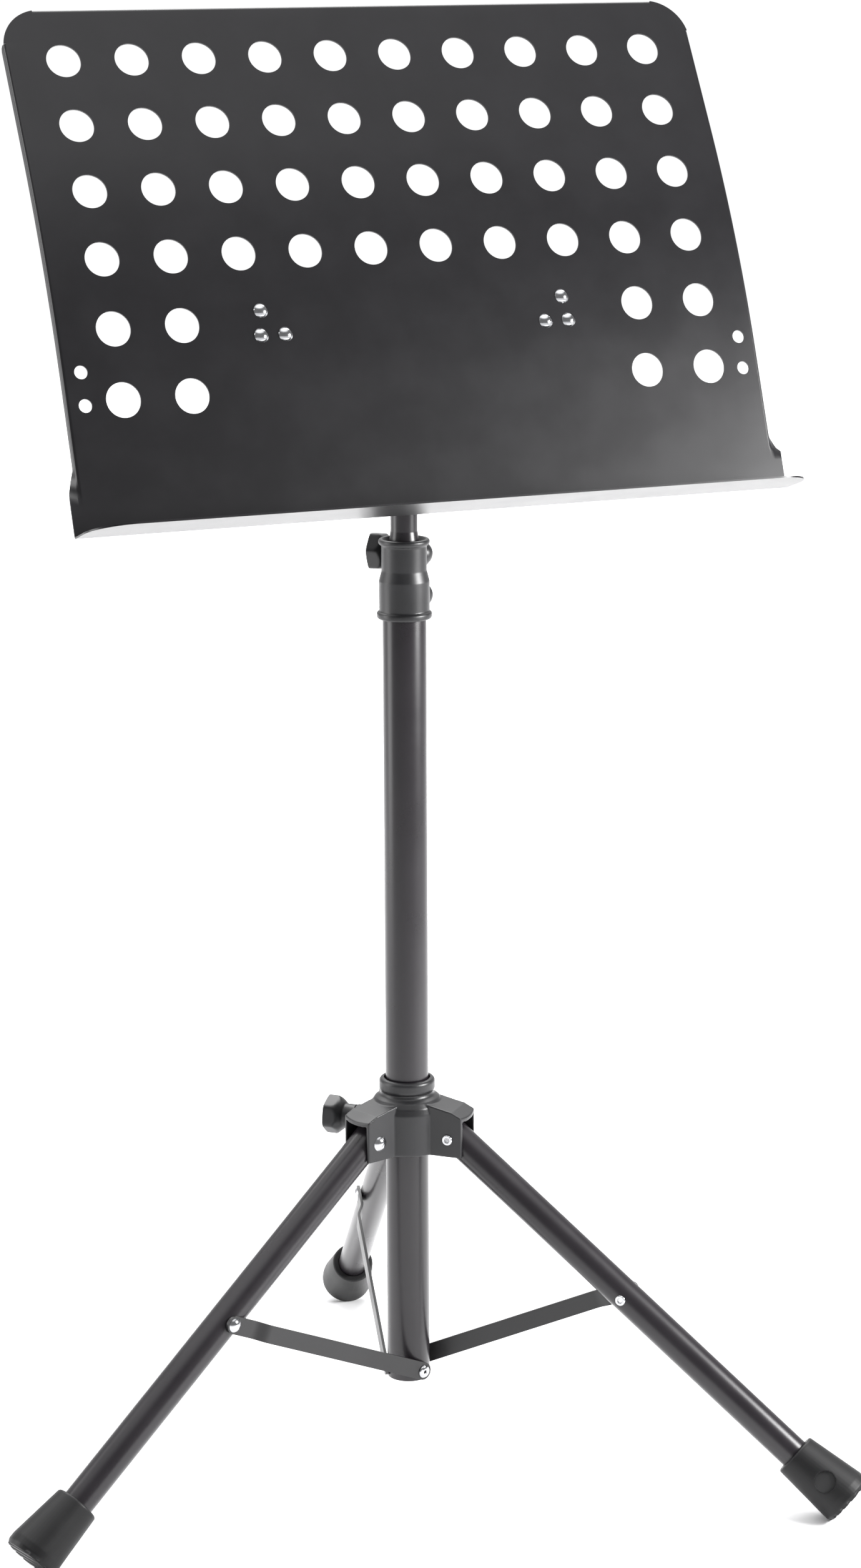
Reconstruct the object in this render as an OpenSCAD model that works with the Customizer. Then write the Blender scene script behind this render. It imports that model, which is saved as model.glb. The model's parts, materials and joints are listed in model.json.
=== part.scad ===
// Orchestral music stand: a perforated sheet-steel desk on a telescopic column with a folding tripod.
// Millimetres. The floor is Z = 0, the column stands on the Z axis and the desk faces -Y.

/* [Desk] */
// Width across the folded side lips
desk_w = 500; // [470:2:530]
// Sheet thickness of the desk
sheet_t = 1.2; // [1:0.1:1.5]
// How far the side and top lips reach back
lip_depth = 6.5; // [5:0.5:8]
// Depth of the ledge that holds the music
ledge_depth = 47; // [38:1:60]
// Rise of the ledge towards the player, in degrees
ledge_rise = 18.2; // [10:0.2:24]
// Radius of the desk's and the ledge's corners
corner_r = 28; // [20:1:32]
// Lean of the desk's flat upper part from vertical, in degrees
desk_tilt = 30.5; // [28:0.5:33]
// Radius of the curled middle part
curl_r = 905; // [850:5:960]
// Angle that the curled middle part turns through
curl_angle = 10.35; // [9.5:0.05:11]
// Length of the flat upper part
flat_top = 100; // [90:1:110]
// Length of the flat lower part
flat_bottom = 96; // [90:1:100]
// Diameter of the big holes
hole_d = 23.5; // [18:0.5:28]
// Spacing of the big holes
hole_pitch = 47; // [44:0.5:48]
// Distance from the top edge to the first row of holes
top_margin = 37.6; // [30:0.2:44]

/* [Column] */
// Outer diameter of the column tube
column_d = 30; // [30:1:30]
// Height of the column tube's lower end above the floor
column_bottom = 61; // [55:1:70]
// Height of the column tube's mouth
column_top = 636; // [636:1:636]
// Outer diameter of the rod that slides in the column
rod_d = 22; // [22:1:22]
// Diameter of the rod's drawn-down neck
neck_d = 18.5; // [17:0.5:20]
// Height of the tilt axis with the rod fully lowered
tilt_z = 812; // [808:1:816]

/* [Clamp] */
// Turn of the collar's split and the knobs about the column
clamp_turn = 45.5; // [0:0.5:90]
// Distance of the clamp bolts from the column's axis
bolt_offset = 20; // [20:0.5:21]
// Size of the knobs across their corners
knob_d = 28.6; // [26:0.2:31]

/* [Tripod] */
// Direction of the first leg about the column
base_turn = 195.5; // [180:0.5:210]
// Lean of the spread legs from vertical
leg_angle = 51; // [48:0.5:53]
// Outer diameter of the leg tubes
leg_d = 22; // [20:0.5:22]
// Distance of the leg pivots from the column's axis
pivot_r = 35; // [34:0.5:36]
// Height of the leg pivots
pivot_z = 244; // [244:1:244]
// Distance along the leg from its pivot to the brace rivet
brace_reach = 163; // [155:1:170]
// Height of the brace pins in the column
pin_z = 68; // [66:1:72]
// Width of the strap braces
strap_w = 12.5; // [10:0.5:14]

/* [Hidden] */
$fn = 64;
LEGS = ["left", "right", "rear"];

steel = "#2b2b2e";
plastic = "#3a3a3d";
rubber = "#222224";
zinc = "#c9ccd1";
brass = "#b59a55";
nylon = "#d8d4c8";

// Overlap that keeps cuts and joined shapes from ending on the same face
eps = 0.05;
// Gap between a pin and the hole that it turns in
run = 0.06;
// Gap between faces that are held together
fit = 0.03;
// Length of a cutter that passes right through a part, and through the sheet only
through = 40;
sheet_cut = 8;

// --- radii of the rivets, pins, bolts and nuts
desk_rivet_r = 2.5;
rolled_in = 1.6;
screw_r = 2.5;
hex_key_r = 1.6;
cross_pin_r = 2;
bolt_r = 3;
nut_r = 5.77;
pivot_pin_r = 3;
brace_rivet_r = 2.5;
column_rivet_r = 2.4;
column_rivet_in = 3.4;
hub_screw_r = 4;
insert_r = 5.5;
clamp_insert_r = 5;
bolt_head_r = 7;
nut_h = 5;

// --- desk profile, drawn in a side view whose X is forward and whose Y is up
corner_pt = [68.4, 692.4];
tilt_low = desk_tilt - curl_angle;
curl_len = curl_r * curl_angle * PI / 180;
sheet_len = flat_bottom + curl_len + flat_top;
ledge_w = desk_w + 2 * lip_depth;
curl_steps = 16;
flare_low = 24.6;
flare_high = 44.4;
lip_end = 24;
function outward(a) = [cos(a), sin(a)];
function upward(a) = [-sin(a), cos(a)];
curl_low = corner_pt + flat_bottom * upward(tilt_low);
curl_centre = curl_low - curl_r * outward(tilt_low);
curl_high = curl_centre + curl_r * outward(desk_tilt);
// Lean of the sheet and the point on its front face, a distance s above the ledge
function lean(s) = tilt_low + max(0, min(curl_angle, (s - flat_bottom) / curl_len * curl_angle));
function face_pt(s) =
    s < flat_bottom ? corner_pt + s * upward(tilt_low)
    : s < flat_bottom + curl_len ? curl_centre + curl_r * outward(lean(s))
    : curl_high + (s - flat_bottom - curl_len) * upward(desk_tilt);
function row_s(i) = sheet_len - top_margin - i * hole_pitch;
hole_cols = 10;
hole_rows = 6;
full_rows = 4;
side_cols = 2;
clip_hole_d = 9;
clip_hole_x = 237.5;
clip_hole_s = [84.4, 106.4];
// Desk rivets: [distance from the middle, distance above the ledge]
rivet_spots = [[108.9, 141.2], [111.1, 124.5], [94.1, 124.5]];

// --- desk bracket and tilt joint
pad_t = 2;
pad_low = 115;
pad_high = 151;
pad_out = 119;
ear_x = 88;
ear_r = 12;
tube_r = 8;
tube_wall = 1.5;
sleeve_r = 9.5;
head_r = 14;
head_w = 46;
socket_r = 13;
socket_low = 766;
neck_top = 798;
pinch_y = 20;
head_pin_z = 782;
plug_len = 14;
slit_half = 1.2;
ear_len = 10;
ear_half = 7;

// --- rod, bushes and collar
rod_bottom = 150;
rod_wall = 1.2;
guide_low = 136;
guide_top = 170;
guide_bore = 4;
spigot_r = rod_d / 2 - rod_wall - run;
neck_low = 657;
neck_high = 669;
column_wall = 1.5;
bore_r = column_d / 2 - column_wall;
liner_r = 12.6;
liner_top = 660;
flange_top = column_top + 2.4;
split_half = 1;
collar_low = 609;
collar_top = 664;
waist_low = 635;
waist_high = 642;
collar_r = 17.3;
collar_neck_r = 15.5;
upper_bolt_z = 650.6;
lower_bolt_z = 622;
lug_r = 9;
lug_half = 6;
boss_half = 9.2;
boss_r = 7.6;
knob_gap = 0.4;
neck_len = 8.3;
hex_len = 14.2;
knob_cone = 6;
knob_ball = 27;
knob_neck_r = 8.5;
knob_bore = 19;

// --- hub
hub_low = 231.5;
hub_r = 26;
hub_ring_low = 273;
hub_ring_top = 283;
arm_half = 13.5;
arm_in = 17.5;
arm_out = 47;
slot_half = 11.3;
slot_in = 22.4;
hub_knob_z = 249;
boss_out = 38;
brake_r = 4.2;
brake_out = 18.5;
insert_in = 22;

// --- legs and braces
leg_r = leg_d / 2;
leg_wall = 1.2;
leg_len = 352;
boot_top = 321.5;
boot_end = 370.4;
boot_r = 15.7;
sole_r = 19.4;
sole_shift = 2.5;
disc_r = 7.3;
disc_at = 350;
disc_angle = 62;
strap_t = 2;
strap_y = column_d / 2 + 0.3 + strap_t / 2;
strap_end_y = leg_r + 0.3 + strap_t / 2;
rivet_x = pivot_r + brace_reach * sin(leg_angle);
rivet_rise = pivot_z - brace_reach * cos(leg_angle) - pin_z;
brace_len = sqrt(rivet_x * rivet_x + rivet_rise * rivet_rise);
brace_angle = atan2(rivet_x, rivet_rise);
function leg_turn(i) = base_turn + 120 * i;

// Turns a side view, X forward and Y up, into the stand's frame; its Z runs to the player's left
module side_view() {
    rotate([90, 0, -90]) children();
}

// Stands on the sheet's front face, s above the ledge and x to the player's left, Z out of the face
module on_sheet(s, x) {
    side_view() translate([face_pt(s)[0], face_pt(s)[1], x]) rotate([0, 0, lean(s)]) rotate([0, 90, 0])
        children();
}

// A round cap of radius r and height h, standing on Z = 0
module dome(r, h) {
    ball = (r * r + h * h) / (2 * h);
    rotate_extrude() intersection() {
        translate([0, h - ball]) circle(ball, $fn = 128);
        square([r, h]);
    }
}

module ring(r_out, r_in, h) {
    difference() {
        cylinder(r = r_out, h = h);
        translate([0, 0, -eps]) cylinder(r = r_in, h = h + 2 * eps);
    }
}

module tube(r_out, wall, z0, z1) {
    translate([0, 0, z0]) ring(r_out, r_out - wall, z1 - z0);
}

// Distances up the sheet at which its profile gets a point, from s0 to s1 across the curl
function stations(s0, s1) =
    concat([s0], [for (i = [0 : curl_steps]) flat_bottom + curl_len * i / curl_steps], [s1]);
// The front face's profile at the given stations, moved back by d
function profile(stops, d) = [for (s = stops) face_pt(s) - d * outward(lean(s))];
function reversed(list) = [for (i = [len(list) - 1 : -1 : 0]) list[i]];

// Band along the sheet from s0 to s1, reaching back by depth, between x0 and x1
module band(s0, s1, depth, x0, x1) {
    stops = stations(s0, s1);
    translate([0, 0, x0]) linear_extrude(x1 - x0)
        polygon(concat(profile(stops, 0), reversed(profile(stops, depth))));
}

// Cuts a square corner round: the corner sits at the origin, the sheet lies at negative X and Y
module corner_cut() {
    translate([0, 0, -10]) difference() {
        translate([-corner_r, -corner_r, 0]) cube([corner_r + 10, corner_r + 10, 20]);
        translate([-corner_r, -corner_r, -1]) cylinder(r = corner_r, h = 22, $fn = 96);
    }
}

// The sheet and the ledge before their sides are trimmed
module desk_blank() {
    blank_w = ledge_w + 20;
    ledge_end = corner_pt + ledge_depth * outward(ledge_rise);
    side_view() {
        band(0, sheet_len, sheet_t, -blank_w / 2, blank_w / 2);
        translate([0, 0, -blank_w / 2]) linear_extrude(blank_w) polygon([
            corner_pt, ledge_end, ledge_end - sheet_t * upward(ledge_rise),
            corner_pt - sheet_t * upward(ledge_rise), corner_pt - sheet_t * [0.8, 0.6],
            corner_pt - sheet_t * outward(tilt_low)
        ]);
    }
}

// Trims the sides: the ledge's width below the flare and the desk's width above it
module side_cuts() {
    on_sheet(0, 0) for (side = [-1, 1]) translate([0, 0, -60]) linear_extrude(120) polygon([
        [side * ledge_w / 2, flare_low], [side * ledge_w / 2, -30], [side * ledge_w, -30],
        [side * ledge_w, sheet_len + 20], [side * desk_w / 2, sheet_len + 20], [side * desk_w / 2, flare_high]
    ]);
}

module corner_cuts() {
    ledge_end = corner_pt + ledge_depth * outward(ledge_rise);
    for (side = [-1, 1]) {
        on_sheet(sheet_len, side * desk_w / 2) rotate([0, 0, side > 0 ? 90 : 0]) corner_cut();
        side_view() translate([ledge_end[0], ledge_end[1], side * ledge_w / 2]) rotate([0, 0, ledge_rise])
            rotate([side * 90, 0, 0]) corner_cut();
    }
}

// Side and top lips, bent back behind the edges
module desk_lips() {
    side_view() {
        for (side = [-1, 1]) {
            edge = side * desk_w / 2;
            band(flare_high, sheet_len - lip_end, lip_depth, min(edge, edge - side * sheet_t),
                max(edge, edge - side * sheet_t));
            translate([0, 0, min(edge, edge - side * sheet_t)]) linear_extrude(sheet_t) polygon(concat(
                profile([flare_low, flare_high + 1], 0),
                reversed(profile([flare_high, flare_high + 1], lip_depth)),
                [face_pt(flare_low) - sheet_t * outward(tilt_low)]
            ));
        }
        translate([0, 0, -desk_w / 2 + lip_end]) linear_extrude(desk_w - 2 * lip_end) polygon(concat(
            profile([sheet_len - sheet_t, sheet_len], 0),
            reversed(profile([sheet_len - sheet_t, sheet_len], lip_depth))
        ));
    }
}

module desk_plate() {
    color(steel) difference() {
        union() {
            difference() {
                desk_blank();
                side_cuts();
                corner_cuts();
            }
            desk_lips();
        }
        for (i = [0 : hole_rows - 1], j = [0 : hole_cols - 1])
            if (i < full_rows || j < side_cols || j >= hole_cols - side_cols)
                on_sheet(row_s(i), (j - (hole_cols - 1) / 2) * hole_pitch)
                    cylinder(d = hole_d, h = sheet_cut, center = true);
        for (side = [-1, 1], s = clip_hole_s)
            on_sheet(s, side * clip_hole_x) cylinder(d = clip_hole_d, h = sheet_cut, center = true);
        for (side = [-1, 1], spot = rivet_spots)
            on_sheet(spot[1], side * spot[0]) cylinder(r = desk_rivet_r, h = sheet_cut, center = true);
    }
}

// Pressed bracket: a curled pad riveted behind the desk and an ear that carries the cross tube
module bracket(side) {
    pad_face = curl_r - sheet_t - fit;
    pad_turn = lean(pad_high) - lean(pad_low);
    color(steel) difference() {
        side_view() {
            translate(curl_centre) rotate([0, 0, lean(pad_low)]) rotate_extrude(angle = pad_turn, $fn = 720)
                translate([pad_face - pad_t, side > 0 ? ear_x : -pad_out]) square([pad_t, pad_out - ear_x]);
            translate([0, 0, side > 0 ? ear_x : -ear_x - pad_t]) linear_extrude(pad_t) {
                translate([0, tilt_z]) circle(ear_r);
                polygon([
                    curl_centre + (pad_face - pad_t / 2) * outward(lean(pad_low)),
                    curl_centre + (pad_face - pad_t / 2) * outward(lean(pad_high)),
                    [4, tilt_z + ear_r - 0.8], [0, tilt_z + ear_r - 0.3], [0, tilt_z - ear_r + 0.3],
                    [4, tilt_z - ear_r + 0.8]
                ]);
            }
        }
        for (spot = rivet_spots)
            on_sheet(spot[1], side * spot[0]) cylinder(r = desk_rivet_r, h = through, center = true);
        side_view() translate([0, tilt_z, side * ear_x]) cylinder(r = screw_r + run, h = through, center = true);
    }
}

module desk_rivets() {
    color(zinc) for (side = [-1, 1], spot = rivet_spots) on_sheet(spot[1], side * spot[0]) {
        grip = sheet_t + pad_t + 1.2;
        dome(5, 2.8);
        translate([0, 0, -grip]) cylinder(r = desk_rivet_r, h = grip + eps);
        translate([0, 0, -grip - 0.1]) ring(4, rolled_in, 1.2);
    }
}

module tilt_tube() {
    color(steel) translate([0, 0, tilt_z]) rotate([0, 90, 0]) tube(tube_r, tube_wall, -ear_x, ear_x);
}

module tube_plugs() {
    color(plastic) for (side = [-1, 1])
        translate([side * ear_x, 0, tilt_z]) rotate([0, -90 * side, 0])
            ring(tube_r - tube_wall, screw_r, plug_len);
}

module tube_screws() {
    color(zinc) for (side = [-1, 1])
        translate([side * (ear_x + pad_t), 0, tilt_z]) rotate([0, 90 * side, 0]) difference() {
            union() {
                dome(4.8, 2.6);
                translate([0, 0, -plug_len]) cylinder(r = screw_r, h = plug_len + eps);
            }
            translate([0, 0, 1.4]) cylinder(r = hex_key_r, h = 2, $fn = 6);
        }
}

// Clamp head: a split barrel round the friction sleeve, a socket on the rod's neck, two ears at the back
module tilt_head() {
    color(plastic) difference() {
        union() {
            translate([0, 0, tilt_z]) rotate([0, 90, 0]) cylinder(r = head_r, h = head_w, center = true);
            translate([0, 0, socket_low])
                cylinder(r1 = socket_r - 0.8, r2 = socket_r, h = tilt_z - socket_low);
            translate([-ear_len, 0, tilt_z - ear_half]) cube([2 * ear_len, pinch_y, 2 * ear_half]);
            translate([0, pinch_y, tilt_z - ear_half]) cylinder(r = ear_len, h = 2 * ear_half);
        }
        translate([0, 0, tilt_z]) rotate([0, 90, 0]) cylinder(r = sleeve_r, h = head_w + 2, center = true);
        translate([0, 0, socket_low - 1]) cylinder(r = neck_d / 2 + fit, h = neck_top - socket_low + 1);
        translate([-head_w / 2 - 1, 0, tilt_z - slit_half])
            cube([head_w + 2, pinch_y + ear_len + 1, 2 * slit_half]);
        translate([0, pinch_y, tilt_z]) cylinder(r = bolt_r, h = through, center = true);
        translate([0, 0, head_pin_z]) rotate([0, 90, 0])
            cylinder(r = cross_pin_r, h = through, center = true);
    }
}

module friction_sleeve() {
    color(nylon) translate([-head_w / 2, 0, tilt_z]) rotate([0, 90, 0]) ring(sleeve_r, tube_r + run, head_w);
}

module tilt_bolt() {
    color(zinc) translate([0, pinch_y, tilt_z]) {
        translate([0, 0, ear_half]) difference() {
            cylinder(r = 5, h = 5);
            translate([0, 0, 2]) cylinder(r = 2.9, h = 4, $fn = 6);
        }
        translate([0, 0, -2 * ear_half]) cylinder(r = bolt_r, h = 3 * ear_half + eps);
    }
}

// M6 nut standing on Z = 0
module hex_nut() {
    difference() {
        cylinder(r = nut_r, h = nut_h, $fn = 6);
        translate([0, 0, -1]) cylinder(r = bolt_r, h = nut_h + 2);
    }
}

module tilt_nut() {
    color(zinc) translate([0, pinch_y, tilt_z - ear_half - nut_h]) hex_nut();
}

module head_pin() {
    color(zinc) translate([0, 0, head_pin_z]) rotate([0, 90, 0])
        cylinder(r = cross_pin_r, h = 2 * socket_r + 1, center = true);
}

module inner_rod() {
    color(steel) difference() {
        rotate_extrude() polygon([
            [rod_d / 2 - rod_wall, rod_bottom], [rod_d / 2, rod_bottom], [rod_d / 2, neck_low],
            [neck_d / 2, neck_high], [neck_d / 2, neck_top], [neck_d / 2 - rod_wall, neck_top],
            [neck_d / 2 - rod_wall, neck_high], [rod_d / 2 - rod_wall, neck_low]
        ]);
        translate([0, 0, head_pin_z]) rotate([0, 90, 0])
            cylinder(r = cross_pin_r, h = through, center = true);
    }
}

// Bush in the rod's lower end: it slides in the column and the rod turns on its spigot
module rod_guide() {
    color(nylon) difference() {
        rotate_extrude() polygon([
            [guide_bore, guide_low], [bore_r - 0.7, guide_low], [bore_r - run, guide_low + 1.5],
            [bore_r - run, rod_bottom - 0.3], [spigot_r, rod_bottom - 0.3], [spigot_r, guide_top - 2],
            [8.5, guide_top], [guide_bore, guide_top]
        ]);
        for (i = [0 : 3]) rotate([0, 0, 90 * i + 45]) translate([8, -0.6, rod_bottom + 6]) cube([4, 1.2, 20]);
    }
}

module column_tube() {
    color(steel) difference() {
        tube(column_d / 2, column_wall, column_bottom, column_top);
        for (i = [0 : 2]) rotate([0, 0, leg_turn(i)]) translate([0, 0, pin_z]) rotate([-90, 0, 0])
            cylinder(r = column_rivet_r, h = column_d);
    }
}

// Liner between the column and the rod: its flange sits on the tube's mouth, its split top is squeezed
module column_bush() {
    color(nylon) difference() {
        rotate_extrude() polygon([
            [rod_d / 2 + run, column_top - 30], [bore_r, column_top - 30], [bore_r, column_top],
            [column_d / 2, column_top], [column_d / 2, flange_top], [liner_r, flange_top],
            [liner_r, liner_top], [rod_d / 2 + run, liner_top]
        ]);
        rotate([0, 0, clamp_turn]) translate([0, -split_half, flange_top]) cube([20, 2 * split_half, 40]);
    }
}

// Flat milled round a bolt's boss, so that its head, nut or knob clears the collar's round body
module spot_face(side, z, r) {
    translate([bolt_offset, side * boss_half, z]) rotate([-90 * side, 0, 0]) cylinder(r = r, h = 12);
}

module clamp_collar() {
    color(plastic) rotate([0, 0, clamp_turn]) difference() {
        union() {
            rotate_extrude($fn = 96) {
                polygon([
                    [0, collar_low + 2], [collar_r, collar_low + 2], [collar_r, waist_low],
                    [collar_neck_r, waist_high], [collar_neck_r, collar_top - 2], [0, collar_top - 2]
                ]);
                square_ring(18.9, collar_low, 5, 1.6);
                square_ring(17.5, collar_top - 4.4, 4.4, 1.8);
            }
            for (z = [upper_bolt_z, lower_bolt_z]) translate([0, 0, z]) {
                translate([0, -lug_half, -lug_r]) cube([bolt_offset, 2 * lug_half, 2 * lug_r]);
                translate([bolt_offset, 0, 0]) rotate([90, 0, 0]) {
                    cylinder(r = lug_r, h = 2 * lug_half, center = true);
                    cylinder(r = boss_r, h = 2 * boss_half, center = true);
                }
            }
        }
        translate([0, 0, collar_low - 1]) cylinder(r = column_d / 2 + fit, h = flange_top - collar_low + 1);
        cylinder(r = liner_r + fit, h = liner_top);
        translate([0, 0, liner_top])
            cylinder(r1 = liner_r + fit, r2 = column_d / 2, h = collar_top - liner_top + eps);
        translate([0, -split_half, collar_low - 1]) cube([40, 2 * split_half, 60]);
        for (z = [upper_bolt_z, lower_bolt_z])
            translate([bolt_offset, 0, z]) rotate([90, 0, 0])
                cylinder(r = bolt_r, h = through, center = true);
        for (side = [-1, 1]) {
            spot_face(side, upper_bolt_z, knob_neck_r + 0.3);
            spot_face(side, lower_bolt_z, bolt_head_r + 0.3);
        }
    }
}

// Section of a round rim: outer radius r, from height z up by h, with edges rounded by e
module square_ring(r, z, h, e) {
    translate([0, z]) square([r - e, h]);
    translate([0, z + e]) square([r, h - 2 * e]);
    for (y = [z + e, z + h - e]) translate([r - e, y]) circle(e, $fn = 32);
}

// Places a clamp bolt's axis: Z runs towards the knob side
module on_bolt(z) {
    rotate([0, 0, clamp_turn]) translate([bolt_offset, 0, z]) rotate([-90, 0, 0]) children();
}

module carriage_bolt(reach) {
    translate([0, 0, -boss_half]) rotate([180, 0, 0]) dome(bolt_head_r, bolt_head_r / 2);
    translate([0, 0, -boss_half - eps]) cylinder(r = bolt_r, h = reach + boss_half + eps);
}

module clamp_bolt() {
    color(plastic) on_bolt(upper_bolt_z) carriage_bolt(27);
}

module collar_bolt() {
    color(plastic) on_bolt(lower_bolt_z) carriage_bolt(boss_half + 6);
}

module collar_nut() {
    color(zinc) on_bolt(lower_bolt_z) translate([0, 0, boss_half]) hex_nut();
}

// Six-sided knob with a domed end and a coned back, on a round neck whose foot is at Z = 0
module knob(hole_r, hole_depth) {
    knob_r = knob_d / 2 - 0.4;
    difference() {
        union() {
            cylinder(r = knob_neck_r, h = neck_len + 3);
            intersection() {
                translate([0, 0, neck_len]) rotate([0, 0, 8]) cylinder(d = knob_d, h = hex_len, $fn = 6);
                rotate_extrude() intersection() {
                    polygon([
                        [0, neck_len], [knob_neck_r, neck_len], [knob_r, neck_len + knob_cone],
                        [knob_r, neck_len + hex_len], [0, neck_len + hex_len]
                    ]);
                    translate([0, neck_len + hex_len - knob_ball]) circle(knob_ball, $fn = 128);
                }
            }
        }
        translate([0, 0, -1]) cylinder(r = hole_r, h = hole_depth + 1);
    }
}

module clamp_knob() {
    color(plastic) on_bolt(upper_bolt_z) translate([0, 0, boss_half + knob_gap])
        knob(clamp_insert_r, knob_bore);
}

module clamp_nut() {
    color(brass) on_bolt(upper_bolt_z) translate([0, 0, boss_half + knob_gap])
        ring(clamp_insert_r, bolt_r + run, 15);
}

// Places a leg's radial frame: X outwards, Y to its counter-clockwise side
module on_leg(i) {
    rotate([0, 0, leg_turn(i)]) children();
}

// Places the hub knob's axis: Z runs outwards from the column's axis
module on_hub_knob() {
    rotate([0, 0, leg_turn(1) + 180]) translate([0, 0, hub_knob_z]) rotate([0, 90, 0]) children();
}

module hub_arm() {
    intersection() {
        translate([0, arm_half, 0]) rotate([90, 0, 0]) linear_extrude(2 * arm_half) polygon([
            [arm_in, hub_low], [arm_out, hub_low], [arm_out, 259.5], [38, 264], [arm_in, 268.5]
        ]);
        translate([0, 0, hub_low - 1]) cylinder(r = arm_out, h = 60, $fn = 96);
    }
}

module hub_slot() {
    translate([0, slot_half, 0]) rotate([90, 0, 0]) linear_extrude(2 * slot_half) polygon([
        [slot_in, hub_low - 1], [arm_out + 10, hub_low - 1], [arm_out + 10, 251.3], [arm_out, 256.5],
        [38, 260.6], [26, 263], [slot_in, 260]
    ]);
    translate([pivot_r, 0, pivot_z]) rotate([90, 0, 0])
        cylinder(r = pivot_pin_r + fit, h = through, center = true);
}

module hub_body() {
    color(plastic) difference() {
        union() {
            rotate_extrude($fn = 96) {
                polygon([
                    [0, hub_low], [hub_r - 0.8, hub_low], [hub_r, hub_low + 0.8], [hub_r, 261], [25, 265.5],
                    [22.5, 269], [19, 271], [18.3, hub_ring_low], [18.3, hub_ring_low + 1.5],
                    [0, hub_ring_low + 1.5]
                ]);
                square_ring(19.6, hub_ring_low, hub_ring_top - hub_ring_low, 3);
            }
            for (i = [0 : 2]) on_leg(i) hub_arm();
            on_hub_knob() translate([0, 0, 18]) cylinder(r = 9, h = boss_out - 18);
        }
        for (i = [0 : 2]) on_leg(i) hub_slot();
        translate([0, 0, hub_low - 1]) cylinder(r = column_d / 2 + run, h = 60);
        translate([0, 0, hub_ring_top - 4]) cylinder(r = 16, h = 5);
        on_hub_knob() cylinder(r = brake_r, h = 30);
        on_hub_knob() translate([0, 0, insert_in]) cylinder(r = insert_r, h = 20);
    }
}

module hub_insert() {
    color(brass) on_hub_knob() translate([0, 0, insert_in])
        ring(insert_r, hub_screw_r + run, boss_out - insert_in);
}

module brake_pad() {
    color(nylon) difference() {
        on_hub_knob() cylinder(r = brake_r, h = brake_out);
        translate([0, 0, hub_knob_z - 10]) cylinder(r = column_d / 2 + 0.2, h = 20);
    }
}

module hub_knob() {
    color(plastic) on_hub_knob() translate([0, 0, boss_out + knob_gap])
        knob(hub_screw_r, knob_bore);
}

module hub_screw() {
    screw_in = brake_out + 0.3;
    color(zinc) on_hub_knob() translate([0, 0, screw_in])
        cylinder(r = hub_screw_r, h = boss_out + knob_gap + knob_bore - screw_in);
}

// Places a leg: Z runs down the tube from its pivot, Y to its counter-clockwise side, -X up and outwards
module down_leg(i) {
    on_leg(i) translate([pivot_r, 0, pivot_z]) rotate([0, 180 - leg_angle, 0]) children();
}

module leg(i) {
    color(steel) down_leg(i) difference() {
        intersection() {
            tube(leg_r, leg_wall, -12, leg_len);
            union() {
                translate([-20, -20, 0]) cube([40, 40, leg_len + 1]);
                rotate([90, 0, 0]) cylinder(r = 12, h = 40, center = true);
            }
        }
        rotate([90, 0, 0]) cylinder(r = pivot_pin_r + run, h = through, center = true);
        translate([0, 0, brace_reach]) rotate([90, 0, 0])
            cylinder(r = brace_rivet_r + fit, h = through, center = true);
    }
}

// Medallion's seat on the boot's flank: Z points out of it
module on_boot_flank() {
    rotate([0, 0, 180 + disc_angle]) translate([0, 0, disc_at]) rotate([0, 90 + 5, 0]) children();
}

module foot(i) {
    color(rubber) difference() {
        down_leg(i) difference() {
            hull() {
                translate([0, 0, boot_top]) cylinder(r = boot_r - 0.8, h = 1, $fn = 48);
                translate([0, 0, boot_top + 1]) cylinder(r = boot_r, h = 1, $fn = 48);
                translate([-0.6, 0, boot_top + 22]) cylinder(r = boot_r + 0.7, h = 1, $fn = 48);
                translate([-sole_shift, 0, boot_end - 8]) cylinder(r = sole_r, h = 5, $fn = 48);
                translate([-sole_shift, 0, boot_end - 1]) cylinder(r = sole_r - 1.4, h = 1, $fn = 48);
            }
            translate([0, 0, boot_top - 1]) cylinder(r = leg_r + fit, h = leg_len - boot_top + 1);
            for (x = [-14 : 7 : 14])
                translate([x - sole_shift - 1.1, -30, boot_end - 1.8]) cube([2.2, 60, 4]);
            on_boot_flank() translate([0, 0, boot_r - 0.7]) cylinder(r = disc_r, h = 8);
        }
        translate([-600, -600, -50]) cube([1200, 1200, 50]);
    }
}

module foot_disc(i) {
    color(rubber) down_leg(i) on_boot_flank() translate([0, 0, boot_r - 0.7]) cylinder(r = disc_r, h = 1.3);
}

module leg_pivot(i) {
    color(zinc) on_leg(i) translate([pivot_r, 0, pivot_z]) {
        translate([0, arm_half, 0]) rotate([-90, 0, 0]) dome(5.3, 2.6);
        translate([0, arm_half + eps, 0]) rotate([90, 0, 0])
            cylinder(r = pivot_pin_r, h = 2 * arm_half + eps);
        translate([0, -arm_half, 0]) rotate([90, 0, 0]) rolled_end(3.9);
    }
}

// Rolled-over hollow rivet end of radius r, standing on Z = 0
module rolled_end(r) {
    translate([0, 0, -eps]) rotate_extrude() {
        translate([1.7, 0]) square([r - 1.7 - 0.6, 1.2 + eps]);
        translate([r - 0.6, 0.6 + eps]) circle(0.6, $fn = 32);
    }
}

// The hollow half of the split brace rivet, fixed in the leg
module rivet_tail(i) {
    color(zinc) down_leg(i) translate([0, 0, brace_reach]) {
        translate([0, leg_r - 0.3, 0]) rotate([90, 0, 0])
            cylinder(r = brace_rivet_r, h = 2 * leg_r - 0.3 + eps);
        translate([0, -leg_r, 0]) rotate([90, 0, 0]) rolled_end(3.8);
    }
}

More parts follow.
